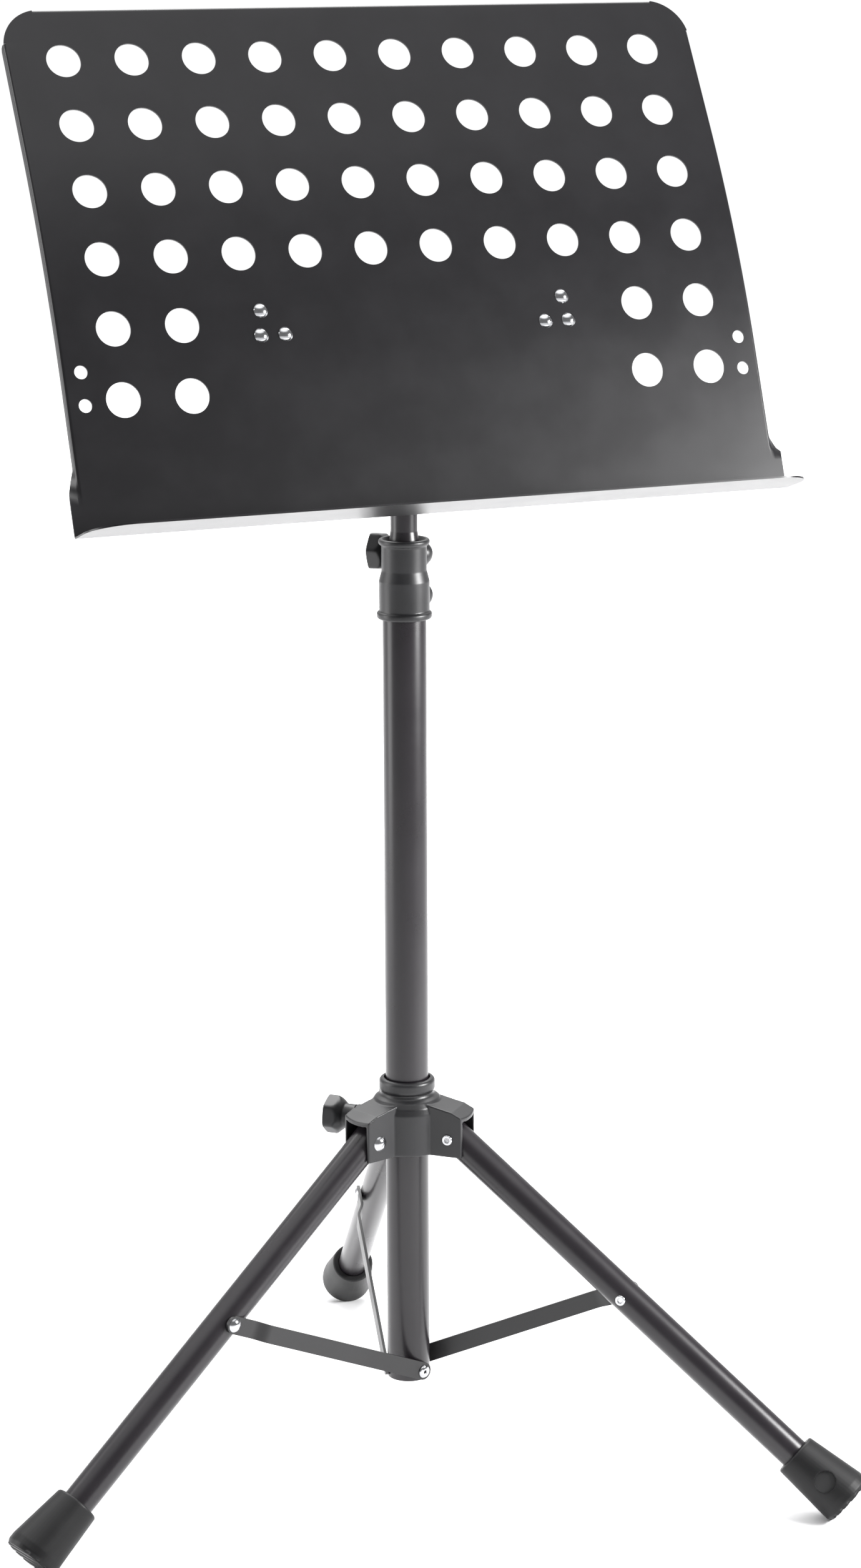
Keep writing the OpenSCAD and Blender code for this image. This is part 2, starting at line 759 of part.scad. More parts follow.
// Places a brace: Z runs from the column pin to the leg rivet, Y to the leg's counter-clockwise side
module along_brace(i) {
    on_leg(i) translate([0, 0, pin_z]) rotate([0, brace_angle, 0]) children();
}

module brace(i) {
    bend_far = brace_len - 16;
    bend_near = brace_len - 30;
    inner = strap_y - strap_t / 2;
    inner_end = strap_end_y - strap_t / 2;
    color(steel) along_brace(i) difference() {
        intersection() {
            translate([-strap_w / 2, 0, 0]) rotate([90, 0, 90]) linear_extrude(strap_w) polygon([
                [inner, -strap_w / 2], [inner, bend_near], [inner_end, bend_far],
                [inner_end, brace_len + strap_w / 2], [inner_end + strap_t, brace_len + strap_w / 2],
                [inner_end + strap_t, bend_far], [inner + strap_t, bend_near], [inner + strap_t, -strap_w / 2]
            ]);
            union() {
                translate([-strap_w / 2, 0, 0]) cube([strap_w, 30, brace_len]);
                for (z = [0, brace_len])
                    translate([0, 0, z]) rotate([-90, 0, 0]) cylinder(d = strap_w, h = 30);
            }
        }
        rotate([-90, 0, 0]) cylinder(r = column_rivet_r + run, h = through);
        translate([0, 0, brace_len]) rotate([-90, 0, 0]) cylinder(r = brace_rivet_r, h = through);
    }
}

// The domed half of the split brace rivet, fixed in the brace
module rivet_head(i) {
    color(zinc) along_brace(i) translate([0, strap_end_y, brace_len]) rotate([-90, 0, 0]) {
        translate([0, 0, strap_t / 2]) dome(5, 2.5);
        translate([0, 0, -strap_t / 2]) cylinder(r = brace_rivet_r, h = strap_t + eps);
    }
}

// Blind rivet in the column's wall that a brace turns on
module brace_pin(i) {
    head_y = strap_y + strap_t / 2 + 0.1;
    color(zinc) on_leg(i) translate([0, 0, pin_z]) rotate([-90, 0, 0]) difference() {
        union() {
            translate([0, 0, bore_r - 2.5]) cylinder(r = column_rivet_r, h = head_y + eps - bore_r + 2.5);
            translate([0, 0, bore_r - 4]) cylinder(r = column_rivet_in, h = 3.6);
            translate([0, 0, head_y]) dome(4.6, 1.7);
        }
        translate([0, 0, bore_r - 5]) cylinder(r = 1, h = 12);
    }
}

desk_plate();
bracket(1);  // bracket_left
bracket(-1);  // bracket_right
desk_rivets();
tilt_tube();
tube_plugs();
tube_screws();
tilt_head();
friction_sleeve();
tilt_bolt();
tilt_nut();
head_pin();
inner_rod();
rod_guide();
column_tube();
column_bush();
clamp_collar();
clamp_bolt();
clamp_knob();
clamp_nut();
collar_bolt();
collar_nut();
hub_body();
hub_insert();
brake_pad();
hub_knob();
hub_screw();
for (i = [0 : 2]) {
    leg(i);
    foot(i);
    foot_disc(i);
    leg_pivot(i);
    rivet_tail(i);
    brace(i);
    rivet_head(i);
    brace_pin(i);
}
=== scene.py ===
"""The music stand's looks: detailed meshes, materials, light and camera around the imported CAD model.

Lengths in the shape functions are millimetres in the model's frame; meshes are made in metres.
"""

import json
import math

import bmesh
import bpy
import numpy as np
from mathutils import Matrix, Vector
from mathutils.geometry import delaunay_2d_cdt


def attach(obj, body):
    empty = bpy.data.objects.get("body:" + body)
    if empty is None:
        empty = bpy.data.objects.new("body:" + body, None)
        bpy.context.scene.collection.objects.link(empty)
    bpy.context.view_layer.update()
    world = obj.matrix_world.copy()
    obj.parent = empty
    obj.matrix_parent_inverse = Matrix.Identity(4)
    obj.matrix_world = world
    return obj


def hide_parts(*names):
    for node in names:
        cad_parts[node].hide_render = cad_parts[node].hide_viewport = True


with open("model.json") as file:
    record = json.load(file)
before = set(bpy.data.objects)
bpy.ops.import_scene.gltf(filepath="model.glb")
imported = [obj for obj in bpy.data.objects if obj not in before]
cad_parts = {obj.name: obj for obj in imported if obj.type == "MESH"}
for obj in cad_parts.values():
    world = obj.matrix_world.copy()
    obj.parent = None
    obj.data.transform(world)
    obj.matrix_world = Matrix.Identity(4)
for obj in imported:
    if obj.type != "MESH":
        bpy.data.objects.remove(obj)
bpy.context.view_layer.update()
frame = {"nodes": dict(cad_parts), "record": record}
nodes = frame["nodes"]
node_body = {n: b for b, names in frame["record"]["behaviour"]["bodies"].items() for n in names}
node_slot = {row["node"]: row["material_slot"] for row in frame["record"]["subparts"]}

MM = 0.001
HERE = Matrix.Identity(4)
LEGS = {"left": 195.5, "right": 315.5, "rear": 75.5}   # each leg's direction, in degrees

# Desk, as the CAD has it. A place on the flat blank is (u, s): u runs across from the middle and
# s up from the ledge's fold. The sheet is flat, then curled back, then flat again. The side lips
# grow out of the sheet in the flare and are square above it.
DESK_W, SHEET_T = 500.0, 1.2
LEDGE_W, LEDGE_DEPTH, LEDGE_RISE = 513.0, 47.0, 18.2
CORNER_R = 28.0
CORNER_PT = (68.4, 692.4)
TILT_LOW, TILT_TOP = 20.15, 30.5
CURL_R = 905.0
FLAT_BOTTOM, FLAT_TOP = 96.0, 100.0
CURL_TOP = FLAT_BOTTOM + CURL_R * math.radians(TILT_TOP - TILT_LOW)
SHEET_LEN = CURL_TOP + FLAT_TOP
FLARE_LOW, FLARE_HIGH = 24.6, 44.4
BEND_R, FOLD_R = 2.2, 1.0
BEND_ARC = BEND_R * math.pi / 2
FOLD_HALF = FOLD_R / math.tan(math.radians(90 + TILT_LOW - LEDGE_RISE) / 2)
SIDE_FOLD, TOP_FOLD = DESK_W / 2 - BEND_R, SHEET_LEN - BEND_R
LEDGE_PAST = LEDGE_W / 2 - SIDE_FOLD

# The lips stop short of the top corners, where a slit frees each end from the sheet
LIP_END, LIP_DEPTH = 24.0, 6.5
LIP_LEG = LIP_DEPTH - BEND_R
LIP_CORNER, LIP_CORNER_CUT = 3.2, 0.9
SIDE_LIP_END, TOP_LIP_END = SHEET_LEN - LIP_END, DESK_W / 2 - LIP_END
SLIT, SLIT_PAST, LIP_FOOT = 0.3, 0.2, 5.5

# Holes and rivets in the desk
HOLE_R, HOLE_SIDES = 11.75, 64
HOLE_ROWS, HOLE_COLUMNS, FULL_ROWS, OUTER_COLUMNS = 6, 10, 4, 2
PITCH, TOP_MARGIN = 47.0, 37.6
CLIP_HOLE_R, CLIP_HOLE_SIDES = 4.5, 40
CLIP_HOLES = [(side * 237.5, s) for side in (-1, 1) for s in (84.4, 106.4)]
RIVET_SPOTS = [(108.9, 141.2), (111.1, 124.5), (94.1, 124.5)]
RIVET_TAIL = SHEET_T + 2.0 + 1.3   # sheet, bracket and the rolled end behind them

# How closely the desk's mesh is divided, and how near to an edge its inner points come
EDGE_STEP, GRID_STEP, GRID_REACH = 6.0, 10.0, 240.0
HOLE_CLEAR, EDGE_CLEAR = 1.6, 0.35

# Column, rod, clamp and hub
COLUMN_R, COLUMN_BORE, COLUMN_Z = 15.0, 13.5, (61.0, 636.0)
ROD_R, ROD_WALL, NECK_R = 11.0, 1.2, 9.25
ROD_LOW, NECK_LOW, NECK_HIGH, ROD_HIGH = 150, 657, 669, 798
CLAMP_TURN, BOLT_OFFSET = 45.5, 20.0
UPPER_BOLT_Z, LOWER_BOLT_Z, BOSS_HALF, KNOB_GAP = 650.6, 622.0, 9.2, 0.4
BOLT_R, BOLT_HEAD_R, BOLT_HEAD_H = 3, 7, 3.5
UPPER_BOLT_END, LOWER_BOLT_END = 27, BOSS_HALF + 6
HUB_KNOB_Z, HUB_BOSS = 249.0, 38.0
KNOB_TURN = 8

# Rivets: (radius, height) of the domed heads, and radii of the shanks and the rolled tails
DESK_HEAD, PIVOT_HEAD, BRACE_HEAD = (5, 2.8), (5.3, 2.6), (5, 2.5)
SMALL_SHANK_R, PIVOT_SHANK_R = 2.5, 3
PIVOT_TAIL_R, BRACE_TAIL_R = 3.9, 3.8
DESK_TAIL_R, DESK_TAIL_BORE, DESK_TAIL_H = 4, 1.6, 1.2

# Legs and braces
PIVOT_R, PIVOT_Z, LEG_ANGLE, LEG_R, LEG_WALL = 35.0, 244.0, 51.0, 11.0, 1.2
LEG_TOP, LEG_END, LEG_CAP = -12, 352, 1.5
ARM_HALF = 13.5
BRACE_REACH, PIN_Z = 163.0, 68.0
STRAP_W, STRAP_T, STRAP_GAP = 12.5, 2.0, 0.3
STEP_NEAR, STEP_FAR = 30, 16   # the strap's step, back from the leg's rivet
STRAP_Y = COLUMN_R + STRAP_GAP + STRAP_T / 2
STRAP_END_Y = LEG_R + STRAP_GAP + STRAP_T / 2
RIVET_X = PIVOT_R + BRACE_REACH * math.sin(math.radians(LEG_ANGLE))
RIVET_RISE = PIVOT_Z - BRACE_REACH * math.cos(math.radians(LEG_ANGLE)) - PIN_Z
BRACE_LEN = math.hypot(RIVET_X, RIVET_RISE)
BRACE_ANGLE = math.degrees(math.atan2(RIVET_X, RIVET_RISE))


# --- placing ------------------------------------------------------------------------------------

def turn(axis, degrees):
    return Matrix.Rotation(math.radians(degrees), 4, axis)


def shift(x, y, z):
    return Matrix.Translation((x, y, z))


def leg_frame(leg):
    """X outwards along the leg's direction, Y to its counter-clockwise side."""
    return turn("Z", LEGS[leg])


def down_leg(leg):
    """Z down the leg's tube from its pivot."""
    return leg_frame(leg) @ shift(PIVOT_R, 0, PIVOT_Z) @ turn("Y", 180 - LEG_ANGLE)


def along_brace(leg):
    """Z from the column's pin to the leg's rivet."""
    return leg_frame(leg) @ shift(0, 0, PIN_Z) @ turn("Y", BRACE_ANGLE)


def on_bolt(z):
    """Z along a clamp bolt, towards the knob's side."""
    return turn("Z", CLAMP_TURN) @ shift(BOLT_OFFSET, 0, z) @ turn("X", -90)


def on_hub_knob():
    """Z out along the hub knob's screw."""
    return turn("Z", LEGS["right"] + 180) @ shift(0, 0, HUB_KNOB_Z) @ turn("Y", 90)


TO_LEFT = turn("X", -90)   # local Z along +Y
TO_RIGHT = turn("X", 90)   # local Z along -Y


# --- measures along the shapes ------------------------------------------------------------------

def progress(value, low, high):
    """How far the value has come from low to high, held between 0 and 1."""
    return min(1.0, max(0.0, (value - low) / (high - low)))


def even_steps(start, end, count):
    """Even steps from start to end, without the start."""
    return [start + (end - start) * k / count for k in range(1, count + 1)]


def arc(centre, radius, first, last, count):
    """Points along an arc between two angles in radians, both ends included."""
    angles = [first + (last - first) * k / count for k in range(count + 1)]
    return [(centre[0] + radius * math.cos(a), centre[1] + radius * math.sin(a)) for a in angles]


def circle(centre, radius, count):
    """Points round a circle."""
    return arc(centre, radius, 0, 2 * math.pi, count)[:-1]


# --- mesh building ------------------------------------------------------------------------------

def new_object(name, verts, faces, place=HERE, sharp=35):
    """A mesh object from millimetre points, smooth but for edges sharper than the angle."""
    mesh = bpy.data.meshes.new(name)
    mesh.from_pydata([(place @ Vector(v)) * MM for v in verts], [], faces)
    mesh.validate()
    work = bmesh.new()
    work.from_mesh(mesh)
    bmesh.ops.remove_doubles(work, verts=work.verts, dist=1e-7)
    bmesh.ops.recalc_face_normals(work, faces=work.faces)
    work.to_mesh(mesh)
    work.free()
    mesh.shade_smooth()
    mesh.set_sharp_from_angle(angle=math.radians(sharp))
    obj = bpy.data.objects.new(name, mesh)
    bpy.context.scene.collection.objects.link(obj)
    return obj


def rounded(points, radii, steps=4):
    """A closed outline with its corners turned into arcs. radii is one number or one per corner."""
    count = len(points)
    if not hasattr(radii, "__len__"):
        radii = [radii] * count
    out = []
    for i, (point, radius) in enumerate(zip(points, radii)):
        here, before, after = (Vector(p) for p in (point, points[i - 1], points[(i + 1) % count]))
        a, b = before - here, after - here
        if radius <= 0 or a.length < 1e-6 or b.length < 1e-6:
            out.append(tuple(here))
            continue
        half = a.angle(b) / 2
        reach = min(radius / math.tan(half), 0.49 * a.length, 0.49 * b.length)
        start, end = here + a.normalized() * reach, here + b.normalized() * reach
        for k in range(steps + 1):
            t = k / steps
            out.append(tuple(start * (1 - t) ** 2 + here * 2 * t * (1 - t) + end * t * t))
    return out


def lathe_mesh(profile, segments):
    """Points and faces of a closed outline of (radius, height) turned about Z."""
    verts, rings = [], []
    for r, z in profile:
        if r < 1e-6:
            rings.append([len(verts)] * segments)
            verts.append((0, 0, z))
            continue
        rings.append(list(range(len(verts), len(verts) + segments)))
        verts += [(x, y, z) for x, y in circle((0, 0), r, segments)]
    faces = []
    for i, lower in enumerate(rings):
        upper = rings[(i + 1) % len(rings)]
        for k in range(segments):
            quad = [lower[k], lower[(k + 1) % segments], upper[(k + 1) % segments], upper[k]]
            face = [v for j, v in enumerate(quad) if v != quad[j - 1]]
            if len(set(face)) > 2:
                faces.append(face)
    return verts, faces


def lathe(name, parts):
    """Lathed solids as one object; each part is (profile, place, segments)."""
    all_verts, all_faces = [], []
    for profile, place, segments in parts:
        verts, faces = lathe_mesh(profile, segments)
        base = len(all_verts)
        all_verts += [tuple(place @ Vector(v)) for v in verts]
        all_faces += [[base + i for i in f] for f in faces]
    return new_object(name, all_verts, all_faces)


def dome_profile(r, h):
    """Outline of a round cap of radius r and height h, with a tight rolled rim."""
    ball = (r * r + h * h) / (2 * h)
    top = math.asin(min(1.0, r / ball))
    angles = [top * (1 - k / 12) for k in range(1, 12)]
    curve = [(min(ball * math.sin(a), r), h - ball + ball * math.cos(a)) for a in angles]
    return [(0, 0), (r - 0.25, 0), (r - 0.05, 0.12)] + curve + [(0, h)]


def ring_profile(r_out, r_in, z0, z1, edge):
    """Outline of a tube with rounded ends."""
    return rounded([(r_in, z0), (r_out, z0), (r_out, z1), (r_in, z1)], edge, 3)


def shank_profile(r, z0, z1):
    """Outline of a plain pin."""
    return [(0, z0), (r, z0), (r, z1), (0, z1)]


def rolled_profile(r):
    """Outline of a rolled-over hollow rivet end."""
    points = [(0, -0.05), (r - 0.3, -0.05), (r, 0.5), (r - 0.5, 1.25), (1.9, 1.25), (1.6, 0.2), (0, 0.2)]
    return rounded(points, [0, 0.1, 0.4, 0.5, 0.4, 0.2, 0])


def apply_modifiers(obj):
    """Bakes the object's modifiers into its mesh."""
    bpy.context.view_layer.update()
    graph = bpy.context.evaluated_depsgraph_get()
    mesh = bpy.data.meshes.new_from_object(obj.evaluated_get(graph), depsgraph=graph)
    mesh.name = obj.name
    obj.modifiers.clear()
    obj.data = mesh
    return obj


def bevelled(obj, width, segments=2, angle=35):
    """Rounds the object's sharp edges by width millimetres."""
    bevel = obj.modifiers.new("edges", "BEVEL")
    bevel.width = width * MM
    bevel.segments = segments
    bevel.limit_method = "ANGLE"
    bevel.angle_limit = math.radians(angle)
    bevel.use_clamp_overlap = True
    apply_modifiers(obj)
    obj.data.shade_smooth()
    obj.data.set_sharp_from_angle(angle=math.radians(50))
    normals = obj.modifiers.new("normals", "WEIGHTED_NORMAL")
    normals.keep_sharp = True
    return obj


def cad_copy(node, name):
    """A welded copy of a CAD node's mesh, to be worked on."""
    mesh = nodes[node].data.copy()
    mesh.name = name
    mesh.materials.clear()
    if mesh.has_custom_normals:
        for attribute in ("custom_normal", "sharp_edge", "sharp_face"):
            if attribute in mesh.attributes:
                mesh.attributes.remove(mesh.attributes[attribute])
    work = bmesh.new()
    work.from_mesh(mesh)
    bmesh.ops.remove_doubles(work, verts=work.verts, dist=2e-6)
    bmesh.ops.recalc_face_normals(work, faces=work.faces)
    work.to_mesh(mesh)
    work.free()
    obj = bpy.data.objects.new(name, mesh)
    bpy.context.scene.collection.objects.link(obj)
    return obj


def softened(node, name, width=0.3):
    """The CAD node's own shape with its machined or pressed edges broken."""
    obj = cad_copy(node, name)
    work = bmesh.new()
    work.from_mesh(obj.data)
    bmesh.ops.dissolve_limit(work, angle_limit=math.radians(0.6), verts=work.verts, edges=work.edges)
    work.to_mesh(obj.data)
    work.free()
    return bevelled(obj, width)


def moulded(node, name, voxel=0.5, rounds=6):
    """The CAD node's own shape as a moulding: every edge and inner corner gets a small fillet."""
    obj = cad_copy(node, name)
    remesh = obj.modifiers.new("remesh", "REMESH")
    remesh.mode = "VOXEL"
    remesh.voxel_size = voxel * MM
    smooth = obj.modifiers.new("smooth", "SMOOTH")
    smooth.factor = 0.5
    smooth.iterations = rounds
    apply_modifiers(obj)
    obj.data.shade_smooth()
    return obj


def dress(obj, node, material):
    """The piece stands for the CAD node, rides on its body and gets its finish."""
    obj.data.materials.clear()
    obj.data.materials.append(material)
    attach(obj, node_body[node])
    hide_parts(node)


# --- materials ----------------------------------------------------------------------------------

def new_material(name):
    """A material with its node tree and its Principled shader."""
    material = bpy.data.materials.new(name)
    material.use_nodes = True
    tree = material.node_tree
    shader = tree.nodes["Principled BSDF"]
    return material, tree, shader


def noise(tree, scale, detail):
    """Noise fixed to the object, from 0 to 1."""
    coords = tree.nodes.new("ShaderNodeTexCoord")
    texture = tree.nodes.new("ShaderNodeTexNoise")
    texture.inputs["Scale"].default_value = scale
    texture.inputs["Detail"].default_value = detail
    texture.inputs["Roughness"].default_value = 0.55
    tree.links.new(coords.outputs["Object"], texture.inputs["Vector"])
    return texture.outputs["Fac"]


def remap(tree, source, low, high, from_low=0.35, from_high=0.65):
    """The source's middle range, or the range given, stretched from low to high."""
    node = tree.nodes.new("ShaderNodeMapRange")
    node.inputs["From Min"].default_value = from_low
    node.inputs["From Max"].default_value = from_high
    node.inputs["To Min"].default_value = low
    node.inputs["To Max"].default_value = high
    tree.links.new(source, node.inputs["Value"])
    return node.outputs["Result"]


def two_tone(tree, source, dark, light):
    """A soft change between two colours."""
    ramp = tree.nodes.new("ShaderNodeValToRGB")
    ramp.color_ramp.elements[0].position = 0.36
    ramp.color_ramp.elements[1].position = 0.66
    ramp.color_ramp.elements[0].color = (*dark, 1)
    ramp.color_ramp.elements[1].color = (*light, 1)
    tree.links.new(source, ramp.inputs["Fac"])
    return ramp.outputs["Color"]


def bump(tree, shader, layers):
    """Bump from several height sources: (source, height in metres)."""
    normal = None
    for source, height in layers:
        node = tree.nodes.new("ShaderNodeBump")
        node.inputs["Strength"].default_value = 1.0
        node.inputs["Distance"].default_value = height
        tree.links.new(source, node.inputs["Height"])
        if normal is not None:
            tree.links.new(normal, node.inputs["Normal"])
        normal = node.outputs["Normal"]
    tree.links.new(normal, shader.inputs["Normal"])


def coat(name, dark, light, rough, grain_scale, grain, specular=0.5):
    """Painted or moulded black: slight mottling, uneven gloss, fine grain over a soft ripple."""
    material, tree, shader = new_material(name)
    broad = noise(tree, 28, 4)
    fine = noise(tree, grain_scale, 2)
    ripple = noise(tree, grain_scale / 6, 2)
    tree.links.new(two_tone(tree, broad, dark, light), shader.inputs["Base Color"])
    tree.links.new(remap(tree, broad, *rough), shader.inputs["Roughness"])
    shader.inputs["Specular IOR Level"].default_value = specular
    bump(tree, shader, [(ripple, RIPPLE_HEIGHT), (fine, grain)])
    return material


def bright_metal(name, dark, light, rough):
    """Plated or turned metal with faint drawn scratches and slightly uneven gloss."""
    material, tree, shader = new_material(name)
    broad = noise(tree, 160, 3)
    coords = tree.nodes.new("ShaderNodeTexCoord")
    stretch = tree.nodes.new("ShaderNodeMapping")
    stretch.inputs["Scale"].default_value = (1, 1, 12)
    fine = tree.nodes.new("ShaderNodeTexNoise")
    fine.inputs["Scale"].default_value = 900
    tree.links.new(coords.outputs["Object"], stretch.inputs["Vector"])
    tree.links.new(stretch.outputs["Vector"], fine.inputs["Vector"])
    shader.inputs["Metallic"].default_value = 1.0
    tree.links.new(two_tone(tree, broad, dark, light), shader.inputs["Base Color"])
    tree.links.new(remap(tree, fine.outputs["Fac"], *rough), shader.inputs["Roughness"])
    bump(tree, shader, [(fine.outputs["Fac"], SCRATCH_DEPTH)])
    return material


RIPPLE_HEIGHT, SCRATCH_DEPTH = 0.00001, 0.0000015   # metres

desk_coat = coat("desk_coat", dark=(0.0050, 0.0046, 0.0058), light=(0.0066, 0.0062, 0.0076),
                 rough=(0.295, 0.315), grain_scale=1700, grain=0.000006)
tube_coat = coat("tube_coat", dark=(0.0105, 0.0085, 0.0108), light=(0.0132, 0.0110, 0.0136),
                 rough=(0.27, 0.30), grain_scale=1500, grain=0.000004)
strap_coat = coat("strap_coat", dark=(0.0085, 0.0083, 0.009), light=(0.012, 0.0117, 0.0125),
                  rough=(0.34, 0.42), grain_scale=1900, grain=0.000006)
plastic = coat("black_plastic", dark=(0.0085, 0.0085, 0.0095), light=(0.012, 0.012, 0.0135),
               rough=(0.34, 0.42), grain_scale=2600, grain=0.00001)
rubber = coat("black_rubber", dark=(0.0045, 0.0044, 0.0048), light=(0.0065, 0.0064, 0.0068),
              rough=(0.42, 0.50), grain_scale=2100, grain=0.000014, specular=0.28)
medallion = coat("medallion_rubber", dark=(0.014, 0.014, 0.0145), light=(0.018, 0.018, 0.0185),
                 rough=(0.40, 0.46), grain_scale=2100, grain=0.00001)
nylon = coat("dark_nylon", dark=(0.09, 0.09, 0.095), light=(0.12, 0.12, 0.125),
             rough=(0.4, 0.5), grain_scale=1800, grain=0.000008)
zinc = bright_metal("bright_zinc", dark=(0.46, 0.465, 0.48), light=(0.56, 0.565, 0.58), rough=(0.10, 0.18))
brass = bright_metal("turned_brass", dark=(0.62, 0.47, 0.22), light=(0.73, 0.58, 0.30), rough=(0.2, 0.32))

SLOT_MATERIAL = {
    "desk_coat": desk_coat, "powder_coat": tube_coat, "black_plastic": plastic, "rubber": rubber,
    "zinc_rivet": zinc, "brass": brass, "nylon": nylon,
}
for node_name, node_object in nodes.items():
    is_disc = node_name.startswith("foot_disc")
    node_object.data.materials.clear()
    node_object.data.materials.append(medallion if is_disc else SLOT_MATERIAL[node_slot[node_name]])


# --- desk ---------------------------------------------------------------------------------------

def outward(degrees):
    """Unit vector (forward, up) out of a sheet that leans back by the angle."""
    a = math.radians(degrees)
    return Vector((math.cos(a), math.sin(a)))


def upward(degrees):
    """Unit vector (forward, up) up along a sheet that leans back by the angle."""
    a = math.radians(degrees)
    return Vector((-math.sin(a), math.cos(a)))


def lean(s):
    """How far the sheet leans back at s, in degrees."""
    return TILT_LOW + (TILT_TOP - TILT_LOW) * progress(s, FLAT_BOTTOM, CURL_TOP)


def face_point(s):
    """Point on the sheet's front face at s, as (forward, up)."""
    if s < FLAT_BOTTOM:
        return Vector(CORNER_PT) + s * upward(TILT_LOW)
    low = Vector(CORNER_PT) + FLAT_BOTTOM * upward(TILT_LOW)
    centre = low - CURL_R * outward(TILT_LOW)
    if s < CURL_TOP:
        return centre + CURL_R * outward(lean(s))
    return centre + CURL_R * outward(TILT_TOP) + (s - CURL_TOP) * upward(TILT_TOP)


def skin_point(s, u):
    """Point and outward direction of the sheet's front skin in the side plane."""
    if s < -FOLD_HALF:
        return Vector(CORNER_PT) - s * outward(LEDGE_RISE), upward(LEDGE_RISE)
    if s < FOLD_HALF:
        share = (FOLD_HALF - s) / (2 * FOLD_HALF)
        angle = TILT_LOW + (90 + LEDGE_RISE - TILT_LOW) * share
        centre = Vector(CORNER_PT) + FOLD_HALF * upward(TILT_LOW) + FOLD_R * outward(TILT_LOW)
        return centre - FOLD_R * outward(angle), outward(angle)
    if s > TOP_FOLD and abs(u) < TOP_LIP_END + SLIT / 2:
        forward, up = outward(TILT_TOP), upward(TILT_TOP)
        centre = face_point(TOP_FOLD) - BEND_R * forward
        bend = min((s - TOP_FOLD) / BEND_R, math.pi / 2)
        past = s - TOP_FOLD - bend * BEND_R
        out = math.cos(bend) * forward + math.sin(bend) * up
        return centre + BEND_R * out - past * forward, out
    return face_point(s), outward(lean(s))


def side_blank(s):
    """How far the flat blank reaches past the side's fold at s."""
    share = progress(s, FLARE_LOW, FLARE_HIGH)
    return LEDGE_PAST + share * (BEND_ARC + LIP_LEG - LEDGE_PAST)


def side_bend(s):
    """Angle through which the side lip is bent back at s: none below the flare, square above it."""
    if s <= FLARE_LOW or s > SIDE_LIP_END + SLIT / 2:
        return 0.0
    target = LEDGE_PAST + progress(s, FLARE_LOW, FLARE_HIGH) * (BEND_R - LEDGE_PAST)
    blank, low, high = side_blank(s), 0.0, math.pi / 2
    for _ in range(30):   # halve the range until the bent lip reaches just as far as the target
        middle = (low + high) / 2
        reach = BEND_R * math.sin(middle) + (blank - BEND_R * middle) * math.cos(middle)
        low, high = (middle, high) if reach > target else (low, middle)
    return low


def sheet_point(u, s):
    """Folds the flat blank's point (u, s) into the desk's front skin, in the model's frame."""
    point, forward = skin_point(s, u)
    past = abs(u) - SIDE_FOLD
    back, across = 0.0, abs(u)
    if past > 0:
        turned = min(past / BEND_R, side_bend(s))
        rest = past - turned * BEND_R
        across = SIDE_FOLD + BEND_R * math.sin(turned) + rest * math.cos(turned)
        back = BEND_R * (1 - math.cos(turned)) + rest * math.sin(turned)
    point = point - back * forward
    return (math.copysign(across, u), -point[0], point[1])


def desk_rows():
    """Heights on the blank at which the mesh needs a row of points."""
    rows = [-LEDGE_DEPTH + k for k in (1.5, 6, 12, 19, 26, 33, 40)]
    rows += [FOLD_HALF * (-1 + k / 3) for k in range(7)]
    rows += [4, 9, 14, 19, FLARE_LOW]
    rows += even_steps(FLARE_LOW, FLARE_HIGH, 6)
    rows += even_steps(FLARE_HIGH, FLAT_BOTTOM, 8)
    rows += even_steps(FLAT_BOTTOM, CURL_TOP, 24)
    rows += even_steps(CURL_TOP, TOP_FOLD, 14)
    return rows + even_steps(TOP_FOLD, TOP_FOLD + BEND_ARC, 6)


def lip_corner(u, s):
    """The rounded free corner of a lip whose edges meet at (u, s)."""
    return [(u, s - LIP_CORNER), (u - LIP_CORNER_CUT, s - LIP_CORNER_CUT), (u - LIP_CORNER, s)]


def half_outline(rows):
    """The blank's outline on its +u side, from the ledge's front edge up to the top lip."""
    corner = (LEDGE_W / 2 - CORNER_R, CORNER_R - LEDGE_DEPTH)
    points = [(u, -LEDGE_DEPTH) for u in np.arange(EDGE_STEP, corner[0] - 1, EDGE_STEP)]
    points += arc(corner, CORNER_R, -math.pi / 2, 0, 16)
    points += [(SIDE_FOLD + side_blank(s), s) for s in rows if corner[1] + 1 < s < SIDE_LIP_END - 4]
    edge, top = SIDE_FOLD + BEND_ARC + LIP_LEG, TOP_FOLD + BEND_ARC + LIP_LEG
    points += lip_corner(edge, SIDE_LIP_END)
    slit = SIDE_FOLD - SLIT_PAST
    points += [(edge - LIP_FOOT, SIDE_LIP_END), (slit, SIDE_LIP_END), (slit, SIDE_LIP_END + SLIT)]
    corner = (DESK_W / 2 - CORNER_R, SHEET_LEN - CORNER_R)
    first = math.asin((SIDE_LIP_END + SLIT - corner[1]) / CORNER_R)
    last = math.acos((TOP_LIP_END + SLIT - corner[0]) / CORNER_R)
    points += arc(corner, CORNER_R, first, last, 24)
    points += [(TOP_LIP_END + SLIT, TOP_FOLD - SLIT), (TOP_LIP_END, TOP_FOLD - SLIT)]
    points += [(TOP_LIP_END, s) for s in rows if s > TOP_FOLD]
    points += lip_corner(TOP_LIP_END, top)
    return points + [(u, top) for u in np.arange(EDGE_STEP, TOP_LIP_END - EDGE_STEP, EDGE_STEP)[::-1]]


